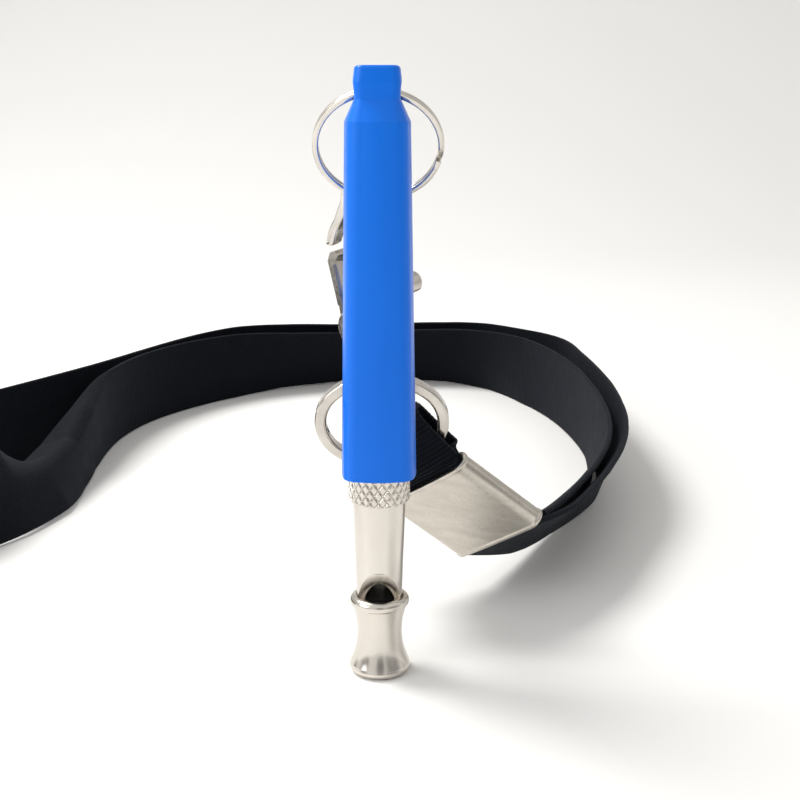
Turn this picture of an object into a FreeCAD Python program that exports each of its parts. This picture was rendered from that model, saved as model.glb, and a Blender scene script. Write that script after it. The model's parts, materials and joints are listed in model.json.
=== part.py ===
import FreeCAD, Part
import math
import os
import Sketcher

# Adjustable training whistle on a webbing strap.
# Frame: origin at the centre of the mouthpiece's foot, +Z up along the whistle,
# -Y is the side of the sound window, +X to the right of the window. Millimetres.

Vector = FreeCAD.Vector
doc = FreeCAD.newDocument("whistle")

# ---------------------------------------------------------------- driving sizes
SIZES = [
    # whistle barrel
    ("foot_radius", 4.35), ("waist_radius", 3.2), ("lip_radius", 4.18),
    ("foot_edge_z", 1.25), ("waist_z", 5.6), ("lip_low_z", 10.1), ("mouth_top_z", 11.6),
    ("inlet_radius", 2.0), ("bore_radius", 2.3), ("spigot_radius", 2.85), ("spigot_z", 8.2),
    ("tube_low_radius", 3.22), ("tube_top_radius", 3.67), ("taper_top_z", 25.7), ("tube_top_z", 31.5),
    ("window_top_z", 15.8), ("window_depth", 2.3),
    ("collar_radius", 4.28), ("collar_top_z", 35.0), ("thread_radius", 1.8),
    # sounding and tuning parts
    ("plug_low_z", 3.5), ("plug_top_z", 11.3), ("windway_depth", 0.55),
    ("piston_radius", 2.25), ("piston_face_z", 20.0), ("piston_height", 4.0),
    ("piston_socket_radius", 1.0), ("screw_tip_radius", 0.95), ("screw_tip_length", 1.9),
    ("screw_radius", 1.75), ("screw_top_z", 66.0),
    ("knob_radius", 3.0), ("knob_low_z", 60.0), ("knob_top_z", 68.0), ("knob_flutes", 14),
    ("nut_radius", 3.2), ("nut_low_z", 35.05), ("nut_height", 3.0), ("nut_flutes", 16),
    # cover
    ("cover_low_z", 29.7), ("cover_shoulder_z", 77.0), ("cover_neck_z", 79.8), ("cover_top_z", 84.0),
    ("cover_low_half", 5.15), ("cover_high_half", 4.33), ("cover_corner", 2.4), ("cover_bulge", 0.3),
    ("neck_half_width", 3.05), ("neck_half_depth", 2.7), ("grip_radius", 4.34), ("grip_top_z", 34.5),
    ("cavity_low_radius", 4.45), ("cavity_high_radius", 3.55), ("cavity_top_z", 75.5),
    ("tab_hole_radius", 1.5), ("tab_hole_z", 80.9),
    # split ring
    ("ring_radius", 8.4), ("ring_band", 1.1), ("ring_wire", 0.5), ("ring_step", 0.56), ("ring_lean", 33.0),
    # snap hook, in its own frame: origin where the split ring's wire passes through the hook
    ("snap_yaw", 45.0), ("snap_pitch", 13.0), ("snap_at_x", -1.1),
    ("hook_thick", 2.2), ("foot_thick", 3.2), ("gate_slot_width", 1.5), ("gate_thick", 1.3), ("gate_block", 2.0),
    ("arch_z", -1.5), ("arch_inner", 3.4), ("arch_outer", 5.5),
    ("pin_radius", 0.7), ("pin_bore_radius", 0.75), ("pin_x", -4.4), ("pin_z", -20.8),
    ("nub_x", 7.6), ("nub_z", -10.7), ("nub_radius", 1.5),
    ("swivel_x", 1.8), ("barrel_radius", 3.0), ("barrel_low_z", -25.9), ("rivet_radius", 1.15),
    ("rivet_bore_radius", 1.2), ("rivet_head_radius", 1.8),
    ("eye_half_width", 10.1), ("eye_half_height", 8.1), ("eye_band", 1.75), ("eye_thick", 2.0), ("eye_z", -34.6),
    ("eye_boss_radius", 2.3), ("barrel_height", 3.6), ("rivet_seat", 1.5), ("foot_low_z", -24.0),
    ("spring_radius", 0.5), ("spring_wire", 0.13), ("spring_pitch", 0.5), ("spring_turns", 3.5),
    ("spring_x", 1.2), ("spring_z", -21.15),
    # strap and its ferrule
    ("strap_width", 18.0), ("strap_thick", 1.0), ("strand_gap", 1.25),
    ("ferrule_width", 19.4), ("ferrule_length", 17.0), ("ferrule_height", 3.5), ("ferrule_sheet", 0.6),
]

sheet = doc.addObject("Spreadsheet::Sheet", "sizes")
for row, (alias, value) in enumerate(SIZES, start=1):
    sheet.set("A%d" % row, alias)
    sheet.set("B%d" % row, str(value))
    sheet.setAlias("B%d" % row, alias)
doc.recompute()


def size(expression):
    """The number that an expression in the sheet's aliases gives."""
    if isinstance(expression, (int, float)):
        return float(expression)
    return float(sheet.evalExpression(expression))


def bind(target, prop, expression):
    """Binds a property to an expression in the sheet's aliases."""
    words = expression
    for alias, _ in sorted(SIZES, key=lambda item: -len(item[0])):
        words = words.replace(alias, "<<%s>>" % alias.upper())
    for alias, _ in SIZES:
        words = words.replace("<<%s>>" % alias.upper(), "sizes.%s" % alias)
    target.setExpression(prop, words)


# ---------------------------------------------------------------- sketch helpers
def new_body(label):
    body = doc.addObject("PartDesign::Body", label)
    body.Label = label
    return body


def plane_of(body, role):
    return [item for item in body.Origin.OriginFeatures if item.Role == role][0]


def new_sketch(body, name, role, offset="0"):
    """A sketch on one of the body's own origin planes, moved along its normal by offset."""
    sketch = body.newObject("Sketcher::SketchObject", name)
    sketch.AttachmentSupport = [(plane_of(body, role), "")]
    sketch.MapMode = "FlatFace"
    sketch.AttachmentOffset = FreeCAD.Placement(Vector(0, 0, size(offset)), FreeCAD.Rotation())
    if offset != "0":
        bind(sketch, "AttachmentOffset.Base.z", offset)
    return sketch


def pin_point(sketch, index, end, across, up):
    """Ties a sketch point to the origin by two expressions."""
    for kind, expression in (("DistanceX", across), ("DistanceY", up)):
        number = sketch.addConstraint(Sketcher.Constraint(kind, -1, 1, index, end, size(expression)))
        if isinstance(expression, str):
            bind(sketch, "Constraints[%d]" % number, expression)


def outline(sketch, points):
    """A closed outline. A point is (across, up); (across, up, mid_across, mid_up) is reached by an arc."""
    count = len(points)
    first = len(sketch.Geometry)
    places = [Vector(size(point[0]), size(point[1]), 0) for point in points]
    for index in range(count):
        here, there = places[index], places[(index + 1) % count]
        following = points[(index + 1) % count]
        if len(following) == 4:
            middle = Vector(size(following[2]), size(following[3]), 0)
            sketch.addGeometry(Part.Arc(here, middle, there), False)
        else:
            sketch.addGeometry(Part.LineSegment(here, there), False)
    begins = []
    for index in range(count):
        at_start = sketch.getPoint(first + index, 1).distanceToPoint(places[index]) < 1e-6
        begins.append(1 if at_start else 2)
    for index in range(count):
        pin_point(sketch, first + index, begins[index], points[index][0], points[index][1])
        following = (index + 1) % count
        sketch.addConstraint(Sketcher.Constraint(
            "Coincident", first + index, 3 - begins[index], first + following, begins[following]))


def ring_in(sketch, across, up, radius):
    """A circle whose centre and radius are expressions."""
    circle = Part.Circle(Vector(size(across), size(up), 0), Vector(0, 0, 1), size(radius))
    index = sketch.addGeometry(circle, False)
    pin_point(sketch, index, 3, across, up)
    number = sketch.addConstraint(Sketcher.Constraint("Radius", index, size(radius)))
    bind(sketch, "Constraints[%d]" % number, radius)


def revolve(body, sketch):
    feature = body.newObject("PartDesign::Revolution", body.Label + "_turned")
    feature.Profile = sketch
    feature.ReferenceAxis = (sketch, ["V_Axis"])
    feature.Angle = 360
    sketch.Visibility = False
    return feature


def pad(body, sketch, length, midplane=False, name="_pad"):
    feature = body.newObject("PartDesign::Pad", body.Label + name)
    feature.Profile = sketch
    feature.Length = size(length)
    bind(feature, "Length", length)
    feature.Midplane = midplane
    return feature


def pocket(body, sketch, length, midplane=False, backwards=False, name="_pocket"):
    """Cuts the sketch out of the body and checks that it did cut."""
    doc.recompute()
    before = body.Shape.Volume
    feature = body.newObject("PartDesign::Pocket", body.Label + name)
    feature.Profile = sketch
    feature.Length = size(length)
    bind(feature, "Length", length)
    feature.Midplane = midplane
    feature.Reversed = backwards
    doc.recompute()
    if body.Shape.Volume > before - 1e-3:
        raise RuntimeError(feature.Label + " cuts nothing")
    return feature


def dress(body, kind, name, radius, wanted):
    """A fillet or chamfer on the edges that the test wanted(edge) picks."""
    doc.recompute()
    base = body.Tip
    names = ["Edge%d" % (i + 1) for i, edge in enumerate(base.Shape.Edges) if wanted(edge)]
    if not names:
        raise RuntimeError(name + " finds no edge")
    feature = body.newObject("PartDesign::" + kind, body.Label + name)
    feature.Base = (base, names)
    if kind == "Fillet":
        feature.Radius = radius
    else:
        feature.Size = radius
    doc.recompute()
    return feature


# ---------------------------------------------------------------- whistle barrel
def make_mouthpiece():
    body = new_body("mouthpiece")
    sketch = new_sketch(body, "mouthpiece_profile", "XZ_Plane")
    outline(sketch, [
        ("inlet_radius", "0"), ("foot_radius - 0.9", "0"),
        ("foot_radius", "foot_edge_z - 0.25", "foot_radius - 0.25", "0.35"),
        ("foot_radius - 0.12", "foot_edge_z + 0.15"),
        ("lip_radius - 0.3", "lip_low_z", "waist_radius", "waist_z"),
        ("spigot_radius + 0.5", "mouth_top_z", "lip_radius + 0.02", "lip_low_z + 0.85"),
        ("spigot_radius", "mouth_top_z - 0.2"), ("spigot_radius", "spigot_z"),
        ("bore_radius", "spigot_z"), ("bore_radius", "plug_low_z"), ("inlet_radius", "plug_low_z"),
    ])
    revolve(body, sketch)
    return body


def make_tube():
    body = new_body("whistle_tube")
    sketch = new_sketch(body, "tube_profile", "XZ_Plane")
    outline(sketch, [
        ("bore_radius", "spigot_z"), ("spigot_radius", "spigot_z"), ("spigot_radius", "mouth_top_z - 0.2"),
        ("tube_low_radius", "mouth_top_z + 0.1"), ("tube_top_radius", "taper_top_z"),
        ("tube_top_radius", "tube_top_z"), ("bore_radius", "tube_top_z"),
    ])
    revolve(body, sketch)
    # the window is one slanted cut that ends on the windway's side of the plug
    cut = new_sketch(body, "window_cut", "YZ_Plane")
    outline(cut, [
        ("-tube_top_radius - 1", "window_top_z + 1.3"), ("-tube_top_radius - 1", "plug_top_z"),
        ("-tube_low_radius + window_depth", "plug_top_z"), ("-tube_low_radius", "window_top_z"),
    ])
    pocket(body, cut, "tube_top_radius * 4", midplane=True, name="_window")
    return body


def make_collar():
    body = new_body("knurled_collar")
    sketch = new_sketch(body, "collar_profile", "XZ_Plane")
    outline(sketch, [
        ("tube_top_radius", "taper_top_z"), ("collar_radius - 0.25", "taper_top_z"),
        ("collar_radius", "taper_top_z + 0.25"), ("collar_radius", "collar_top_z - 0.3"),
        ("collar_radius - 0.3", "collar_top_z"), ("thread_radius", "collar_top_z"),
        ("thread_radius", "tube_top_z"), ("tube_top_radius", "tube_top_z"),
    ])
    revolve(body, sketch)
    return body


def make_plug():
    body = new_body("fipple_plug")
    sketch = new_sketch(body, "plug_section", "XY_Plane", "plug_low_z")
    ring_in(sketch, "0", "0", "bore_radius")
    pad(body, sketch, "plug_top_z - plug_low_z")
    flat = new_sketch(body, "windway_flat", "XY_Plane", "plug_low_z")
    outline(flat, [
        ("-bore_radius - 1", "-bore_radius - 1"), ("bore_radius + 1", "-bore_radius - 1"),
        ("bore_radius + 1", "-bore_radius + windway_depth"), ("-bore_radius - 1", "-bore_radius + windway_depth"),
    ])
    pocket(body, flat, "plug_top_z - plug_low_z + 1", backwards=True, name="_windway")
    return body


# ---------------------------------------------------------------- tuning gear
def make_piston():
    body = new_body("tuning_piston")
    sketch = new_sketch(body, "piston_profile", "XZ_Plane")
    outline(sketch, [
        ("0", "piston_face_z"), ("piston_radius - 0.2", "piston_face_z"), ("piston_radius", "piston_face_z + 0.2"),
        ("piston_radius", "piston_face_z + piston_height"), ("piston_socket_radius", "piston_face_z + piston_height"),
        ("piston_socket_radius", "piston_face_z + piston_height - 2"),
        ("0", "piston_face_z + piston_height - 2"),
    ])
    revolve(body, sketch)
    return body


def make_screw():
    body = new_body("adjusting_screw")
    sketch = new_sketch(body, "screw_profile", "XZ_Plane")
    step = "piston_face_z + piston_height + 0.05"
    outline(sketch, [
        ("0", step + " - screw_tip_length"), ("screw_tip_radius", step + " - screw_tip_length"),
        ("screw_tip_radius", step), ("screw_radius", step),
        ("screw_radius", "screw_top_z"), ("0", "screw_top_z"),
    ])
    revolve(body, sketch)
    return body


def fluted(body, radius, low, height, count, bore, flute_depth):
    """A round grip with a bore and a ring of flutes along Z."""
    blank = new_sketch(body, body.Label + "_section", "XY_Plane", low)
    ring_in(blank, "0", "0", radius)
    pad(body, blank, height)
    flute = new_sketch(body, body.Label + "_flute", "XY_Plane", low)
    ring_in(flute, radius + " + 0.18", "0", str(flute_depth))
    cut = pocket(body, flute, height, backwards=True, name="_flute_cut")
    pattern = body.newObject("PartDesign::PolarPattern", body.Label + "_flutes")
    pattern.Originals = [cut]
    pattern.Axis = (blank, ["N_Axis"])
    pattern.Angle = 360
    pattern.Occurrences = int(size(count))
    bind(pattern, "Occurrences", count)
    body.Tip = pattern
    hole = new_sketch(body, body.Label + "_bore", "XY_Plane", low)
    ring_in(hole, "0", "0", bore)
    return hole


def make_knob():
    body = new_body("adjusting_knob")
    hole = fluted(body, "knob_radius", "knob_low_z", "knob_top_z - knob_low_z", "knob_flutes", "screw_radius", 0.42)
    pocket(body, hole, "screw_top_z - knob_low_z", backwards=True, name="_socket")
    return body


def make_nut():
    body = new_body("lock_nut")
    hole = fluted(body, "nut_radius", "nut_low_z", "nut_height", "nut_flutes", "thread_radius", 0.4)
    pocket(body, hole, "nut_height", backwards=True, name="_thread")
    return body


# ---------------------------------------------------------------- cover
def rounded_square(half_x, half_y, corner, bulge):
    """Outline points of a square whose corners are round and whose sides stand out a little."""
    half_x, half_y = "(%s)" % half_x, "(%s)" % half_y
    flat_x = "(%s - %s)" % (half_x, corner)
    flat_y = "(%s - %s)" % (half_y, corner)
    turn = "(%s * 0.7071)" % corner
    low_x = "(%s - %s)" % (half_x, bulge)
    low_y = "(%s - %s)" % (half_y, bulge)
    quarter = []
    for sign_x, sign_y in ((1, -1), (1, 1), (-1, 1), (-1, -1)):
        side = ("%d * %s" % (sign_x, low_x), "%d * %s" % (sign_y, flat_y))
        cap = ("%d * %s" % (sign_x, flat_x), "%d * %s" % (sign_y, low_y))
        middle = ("%d * (%s + %s - %s * 0.9)" % (sign_x, flat_x, turn, bulge),
                  "%d * (%s + %s - %s * 0.9)" % (sign_y, flat_y, turn, bulge))
        quarter.append((side, cap, middle))
    right_low, right_high, left_high, left_low = quarter
    return [
        right_low[0],
        right_high[0] + ("%s" % half_x, "0"),
        right_high[1] + right_high[2],
        left_high[1] + ("0", "%s" % half_y),
        left_high[0] + left_high[2],
        left_low[0] + ("-1 * %s" % half_x, "0"),
        left_low[1] + left_low[2],
        right_low[1] + ("0", "-1 * %s" % half_y),
    ], right_low[2]


def section_sketch(body, name, height, half_x, half_y, corner, bulge):
    sketch = new_sketch(body, name, "XY_Plane", height)
    points, closing = rounded_square(half_x, half_y, corner, bulge)
    points[0] = points[0] + closing
    outline(sketch, points)
    return sketch


def loft(body, name, sketches):
    feature = body.newObject("PartDesign::AdditiveLoft", name)
    feature.Profile = sketches[0]
    feature.Sections = sketches[1:]
    feature.Ruled = True
    return feature


def make_cover():
    body = new_body("cover")
    low = section_sketch(body, "cover_low", "cover_low_z", "cover_low_half", "cover_low_half",
                         "cover_corner", "cover_bulge")
    high = section_sketch(body, "cover_high", "cover_shoulder_z", "cover_high_half", "cover_high_half",
                          "cover_corner", "cover_bulge")
    loft(body, "cover_sleeve", [low, high])
    shoulder = section_sketch(body, "shoulder_low", "cover_shoulder_z", "cover_high_half", "cover_high_half",
                              "cover_corner", "cover_bulge")
    neck = section_sketch(body, "shoulder_high", "cover_neck_z", "neck_half_width", "neck_half_depth",
                          "1.3", "0.1")
    loft(body, "cover_shoulder", [shoulder, neck])
    tab_low = section_sketch(body, "tab_low", "cover_neck_z", "neck_half_width", "neck_half_depth", "1.3", "0.1")
    tab_mid = section_sketch(body, "tab_mid", "(cover_neck_z + cover_top_z) / 2",
                             "neck_half_width + 0.15", "neck_half_depth", "1.3", "0.1")
    tab_top = section_sketch(body, "tab_top", "cover_top_z", "neck_half_width - 0.1",
                             "neck_half_depth - 0.2", "1.3", "0.1")
    loft(body, "cover_tab", [tab_low, tab_mid, tab_top])
    top = size("cover_top_z")
    dress(body, "Fillet", "_tab_round", 0.5, lambda edge: all(abs(v.Z - top) < 1e-4 for v in edge.Vertexes))
    cavity = new_sketch(body, "cover_cavity", "XZ_Plane")
    outline(cavity, [
        ("0", "cover_low_z - 1"), ("grip_radius", "cover_low_z - 1"), ("grip_radius", "grip_top_z"),
        ("cavity_low_radius - 0.15", "grip_top_z + 0.4"), ("cavity_high_radius", "cavity_top_z - 1"),
        ("cavity_high_radius - 1", "cavity_top_z"), ("0", "cavity_top_z"),
    ])
    doc.recompute()
    before = body.Shape.Volume
    hollow = body.newObject("PartDesign::Groove", "cover_hollow")
    hollow.Profile = cavity
    hollow.ReferenceAxis = (cavity, ["V_Axis"])
    hollow.Angle = 360
    doc.recompute()
    if body.Shape.Volume > before * 0.7:
        raise RuntimeError("the cover is not hollow")
    hole = new_sketch(body, "tab_hole", "YZ_Plane")
    ring_in(hole, "0", "tab_hole_z", "tab_hole_radius")
    pocket(body, hole, "neck_half_width * 4", midplane=True, name="_tab_hole")
    return body


# ---------------------------------------------------------------- split ring
def make_split_ring():
    """Two turns of flat wire, side by side, with one short step from turn to turn."""
    radius, band, wire = size("ring_radius"), size("ring_band"), size("ring_wire")
    step = size("ring_step")
    step_angle = 16.0

    def wire_end(angle, height):
        low = Part.makePolygon([Vector(radius + a, 0, height + b) for a, b in (
            (-band / 2, -wire / 2), (band / 2, -wire / 2), (band / 2, wire / 2), (-band / 2, wire / 2),
            (-band / 2, -wire / 2))])
        low.rotate(Vector(0, 0, 0), Vector(0, 0, 1), angle)
        return low

    def turn(angle, height):
        face = Part.Face(wire_end(angle, height))
        return face.revolve(Vector(0, 0, 0), Vector(0, 0, 1), 360 - step_angle)

    first = turn(0, -step / 2)
    second = turn(0, step / 2)
    crossing = Part.makeLoft([wire_end(-step_angle * part, -step / 2 + step * (1 - part))
                              for part in (0.0, 0.25, 0.5, 0.75, 1.0)], True, True)
    # turn one ends where the crossing begins, and turn two starts where it ends
    shape = first.fuse([crossing, second]).removeSplitter()
    ring = doc.addObject("Part::Feature", "split_ring")
    ring.Label = "split_ring"
    ring.Shape = shape
    lean = size("ring_lean")
    seat = Vector(0, 0, size("tab_hole_z") - 0.1)
    centre = seat + Vector(0, radius * math.sin(math.radians(lean)), -radius * math.cos(math.radians(lean)))
    ring.Placement = FreeCAD.Placement(centre, FreeCAD.Rotation(Vector(1, 0, 0), 90 + lean))
    return ring


# ---------------------------------------------------------------- snap hook
def snap_origin():
    """Where the ring's lowest wire passes through the hook."""
    lean = math.radians(size("ring_lean"))
    drop = 2 * size("ring_radius")
    across = size("snap_at_x")
    rise = size("ring_radius") - math.sqrt(size("ring_radius") ** 2 - across ** 2)
    drop -= rise
    return Vector(across, drop * math.sin(lean), size("tab_hole_z") - 0.1 - drop * math.cos(lean))


def snap_placement(yaw):
    """The snap hangs back by its pitch; yaw turns a piece about the swivel line."""
    pitch = FreeCAD.Rotation(Vector(1, 0, 0), size("snap_pitch"))
    return FreeCAD.Placement(snap_origin(), pitch.multiply(FreeCAD.Rotation(Vector(0, 0, 1), -yaw)))


def hang(item):
    item.Placement = snap_placement(size("snap_yaw"))


def hang_on_swivel(item):
    """The eye and its rivet lie square to the whistle, on the snap's swivel line."""
    snap = snap_placement(size("snap_yaw"))
    line = snap.multVec(Vector(size("swivel_x"), 0, 0))
    item.Placement = FreeCAD.Placement(line, snap_placement(0).Rotation)


def make_snap_body():
    body = new_body("snap_body")
    sketch = new_sketch(body, "hook_outline", "XZ_Plane")
    outline(sketch, [
        ("arch_outer", "arch_z"), ("-arch_outer", "arch_z", "0", "arch_z + arch_outer"),
        ("-7.0", "-4.7"), ("-8.85", "-8.9", "-8.2", "-6.7"), ("-7.15", "-8.5", "-7.95", "-9.1"), ("-6.2", "-6.2"),
        ("-arch_inner", "arch_z"), ("arch_inner", "arch_z", "0", "arch_z + arch_inner"),
        ("arch_inner", "-13"), ("1.2", "-17.4"), ("-4.9", "-18.6"), ("-5.75", "-20.8", "-5.55", "-19.5"),
        ("-3.9", "-22.9", "-5.2", "-22.4"), ("swivel_x - 2.6", "foot_low_z"), ("swivel_x + 2.6", "foot_low_z"), ("5.6", "-21"),
        ("arch_outer + 0.25", "-14"),
    ])
    pad(body, sketch, "hook_thick", midplane=True)
    dress(body, "Fillet", "_cast_round", 0.62,
          lambda edge: abs(abs(edge.CenterOfMass.y) - size("hook_thick") / 2) < 1e-3)
    foot = new_sketch(body, "foot_outline", "XZ_Plane")
    outline(foot, [
        ("5.95", "-12.2"), ("3.1", "-12.2"), ("3.1", "-13.4"), ("0.9", "-17.3"), ("-4.8", "-18.5"),
        ("-5.85", "-20.8", "-5.65", "-19.4"), ("-3.9", "-23.05", "-5.3", "-22.5"), ("swivel_x - 2.6", "foot_low_z"),
        ("swivel_x + 2.6", "foot_low_z"), ("5.8", "-21"),
    ])
    pad(body, foot, "foot_thick", midplane=True, name="_foot")
    dress(body, "Fillet", "_foot_round", 0.3,
          lambda edge: abs(abs(edge.CenterOfMass.y) - size("foot_thick") / 2) < 1e-3)
    barrel = new_sketch(body, "barrel_profile", "XY_Plane", "barrel_low_z")
    ring_in(barrel, "swivel_x", "0", "barrel_radius")
    pad(body, barrel, "barrel_height", name="_barrel")
    # the gate works in a slot along the middle of the foot and the spine
    slot = new_sketch(body, "gate_slot", "XZ_Plane")
    outline(slot, [
        ("-8", "-22.0"), ("-4.4", "-22.7"), ("0.2", "-21.6"), ("7", "-20.4"), ("7", "-11.4"), ("1.6", "-11.4"),
        ("-0.4", "-16.5"), ("-8", "-16.5"),
    ])
    pocket(body, slot, "gate_slot_width", midplane=True, name="_slot")
    pivot = new_sketch(body, "pin_hole", "XZ_Plane")
    ring_in(pivot, "pin_x", "pin_z", "pin_radius")
    pocket(body, pivot, "foot_thick * 2", midplane=True, name="_pin_hole")
    bore = new_sketch(body, "rivet_hole", "XY_Plane", "barrel_low_z")
    ring_in(bore, "swivel_x", "0", "rivet_bore_radius")
    pocket(body, bore, "rivet_seat", backwards=True, name="_rivet_hole")
    head = new_sketch(body, "rivet_pocket", "XY_Plane", "barrel_low_z + rivet_seat")
    ring_in(head, "swivel_x", "0", "rivet_head_radius + 0.1")
    pocket(body, head, "1.3", backwards=True, name="_rivet_pocket")
    hang(body)
    return body


def make_gate():
    body = new_body("snap_gate")
    sketch = new_sketch(body, "gate_outline", "XZ_Plane")
    outline(sketch, [
        ("pin_x - 1.6", "pin_z + 0.6"), ("pin_x + 1.0", "pin_z - 1.25", "pin_x - 0.75", "pin_z - 1.45"),
        ("nub_x", "nub_z - 0.8"), ("nub_x", "nub_z + 0.7"), ("-0.6", "-17.0"), ("-4.5", "-18.2"),
        ("-7.0", "-11.0"), ("-8.3", "-11.0"),
    ])
    pad(body, sketch, "gate_thick", midplane=True)
    tip = new_sketch(body, "gate_tip", "XZ_Plane")
    outline(tip, [
        ("-8.4", "-11.6"), ("-6.95", "-11.6"), ("-6.1", "-10.0"), ("-7.9", "-10.1", "-6.95", "-9.65"),
    ])
    pad(body, tip, "gate_block", midplane=True, name="_tip")
    lever = new_sketch(body, "gate_face", "XZ_Plane")
    outline(lever, [("-8.4", "-11.3"), ("-6.35", "-17.9"), ("-5.35", "-17.6"), ("-7.3", "-11.3")])
    pad(body, lever, "gate_block", midplane=True, name="_face")
    nub = new_sketch(body, "nub_profile", "XZ_Plane")
    ring_in(nub, "nub_x", "nub_z", "nub_radius")
    pad(body, nub, "gate_block + 0.4", midplane=True, name="_nub")
    dress(body, "Fillet", "_nub_round", 0.5,
          lambda edge: abs(abs(edge.CenterOfMass.y) - size("gate_block") / 2 - 0.2) < 1e-3)
    bore = new_sketch(body, "gate_bore", "XZ_Plane")
    ring_in(bore, "pin_x", "pin_z", "pin_bore_radius")
    pocket(body, bore, "gate_block * 2", midplane=True, name="_bore")
    hang(body)
    return body


def make_gate_pin():
    pin = doc.addObject("Part::Cylinder", "gate_pin")
    pin.Label = "gate_pin"
    bind(pin, "Radius", "pin_radius")
    bind(pin, "Height", "foot_thick + 0.4")
    across = FreeCAD.Placement(Vector(size("pin_x"), size("foot_thick") / 2 + 0.2, size("pin_z")),
                               FreeCAD.Rotation(Vector(1, 0, 0), 90))
    pin.Placement = snap_placement(size("snap_yaw")).multiply(across)
    return pin


def make_gate_spring():
    """A small compression coil that stands in the slot, under the thumb arm."""
    coil_radius, pitch = size("spring_radius"), size("spring_pitch")
    helix = Part.makeHelix(pitch, pitch * size("spring_turns"), coil_radius)
    circle = Part.Circle(Vector(coil_radius, 0, 0), Vector(0, 1, 0), size("spring_wire"))
    coil = Part.Wire(helix).makePipeShell([Part.Wire(circle.toShape())], True, True)
    spring = doc.addObject("Part::Feature", "gate_spring")
    spring.Label = "gate_spring"
    spring.Shape = coil
    seat = FreeCAD.Placement(Vector(size("spring_x"), 0, size("spring_z")), FreeCAD.Rotation())
    spring.Placement = snap_placement(size("snap_yaw")).multiply(seat)
    return spring


# ---------------------------------------------------------------- swivel
def make_eye():
    """An oval cast loop with a boss on top for the swivel rivet."""
    body = new_body("swivel_eye")
    sketch = new_sketch(body, "eye_section", "XZ_Plane")
    oval(sketch, "0")
    oval(sketch, "eye_band")
    pad(body, sketch, "eye_thick", midplane=True)
    boss = new_sketch(body, "eye_boss", "XY_Plane", "eye_z + eye_half_height - 0.9")
    ring_in(boss, "0", "0", "eye_boss_radius")
    pad(body, boss, "barrel_low_z - 0.1 - eye_z - eye_half_height + 0.9", name="_boss")
    bore = new_sketch(body, "eye_bore", "XY_Plane", "eye_z + eye_half_height - 2.2")
    ring_in(bore, "0", "0", "rivet_radius")
    pocket(body, bore, "5", backwards=True, name="_bore")
    dress(body, "Fillet", "_cast_round", 0.45,
          lambda edge: abs(abs(edge.CenterOfMass.y) - size("eye_thick") / 2) < 1e-3 and edge.Length > 3)
    hang_on_swivel(body)
    return body


def oval(sketch, inset):
    """An oval of four arcs, one per quarter, that is the eye's outline less the inset."""
    wide, tall = "(eye_half_width - %s)" % inset, "(eye_half_height - %s)" % inset
    near, far = "(0.745 * %s)" % wide, "(0.667 * %s)" % tall
    outline(sketch, [
        ("-1 * " + near, "eye_z - " + far, "-1 * " + wide, "eye_z"),
        (near, "eye_z - " + far, "0", "eye_z - " + tall),
        (near, "eye_z + " + far, wide, "eye_z"),
        ("-1 * " + near, "eye_z + " + far, "0", "eye_z + " + tall),
    ])


def make_rivet():
    body = new_body("swivel_rivet")
    sketch = new_sketch(body, "rivet_profile", "XZ_Plane")
    low = "eye_z + eye_half_height - eye_band"
    outline(sketch, [
        ("0", low), ("rivet_radius", low), ("rivet_radius", "barrel_low_z + rivet_seat + 0.05"),
        ("rivet_head_radius", "barrel_low_z + rivet_seat + 0.05"),
        ("rivet_head_radius", "barrel_low_z + rivet_seat + 0.5"),
        ("rivet_head_radius - 0.5", "barrel_low_z + rivet_seat + 1"), ("0", "barrel_low_z + rivet_seat + 1"),
    ])
    revolve(body, sketch)
    hang_on_swivel(body)
    return body


# ---------------------------------------------------------------- ferrule
# The ferrule hangs beside the whistle: its own X runs down the strap, its own Y across the strap
# from the low far edge to the high near edge, and its own Z is the face toward the window's side.
FERRULE_CENTRE = Vector(12.7, 22.0, 17.0)
ALONG = Vector(0.740, 0.234, -0.631).normalize()
ACROSS = Vector(0.627, -0.581, 0.519)
ACROSS = (ACROSS - ALONG * ACROSS.dot(ALONG)).normalize()
FACING = ALONG.cross(ACROSS)


def ferrule_placement():
    turn = FreeCAD.Rotation(ALONG, ACROSS, FACING, "XYZ")
    return FreeCAD.Placement(FERRULE_CENTRE, turn)


def make_ferrule():
    """A flattened sheet tube that is crimped on two layers of webbing."""
    body = new_body("ferrule")
    sketch = new_sketch(body, "ferrule_section", "YZ_Plane", "-ferrule_length / 2")
    for inset in ("0", "ferrule_sheet"):
        half = "(ferrule_width / 2 - %s)" % inset
        rise = "(ferrule_height / 2 - %s)" % inset
        start = len(sketch.Geometry)
        slot_outline(sketch, half, rise, start)
    pad(body, sketch, "ferrule_length")
    body.Placement = ferrule_placement()
    return body


def slot_outline(sketch, half, rise, start):
    """A long slot shape, round at both ends, whose first edge has the index start."""
    h, r = size(half), size(rise)
    flat = h - r
    sketch.addGeometry(Part.LineSegment(Vector(-flat, -r, 0), Vector(flat, -r, 0)))
    sketch.addGeometry(Part.Arc(Vector(flat, -r, 0), Vector(h, 0, 0), Vector(flat, r, 0)))
    sketch.addGeometry(Part.LineSegment(Vector(flat, r, 0), Vector(-flat, r, 0)))
    sketch.addGeometry(Part.Arc(Vector(-flat, r, 0), Vector(-h, 0, 0), Vector(-flat, -r, 0)))
    pin_point(sketch, start, 1, "-1 * (%s - %s)" % (half, rise), "-1 * %s" % rise)
    pin_point(sketch, start, 2, "%s - %s" % (half, rise), "-1 * %s" % rise)
    pin_point(sketch, start + 2, 1, "%s - %s" % (half, rise), rise)
    pin_point(sketch, start + 2, 2, "-1 * (%s - %s)" % (half, rise), rise)


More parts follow.
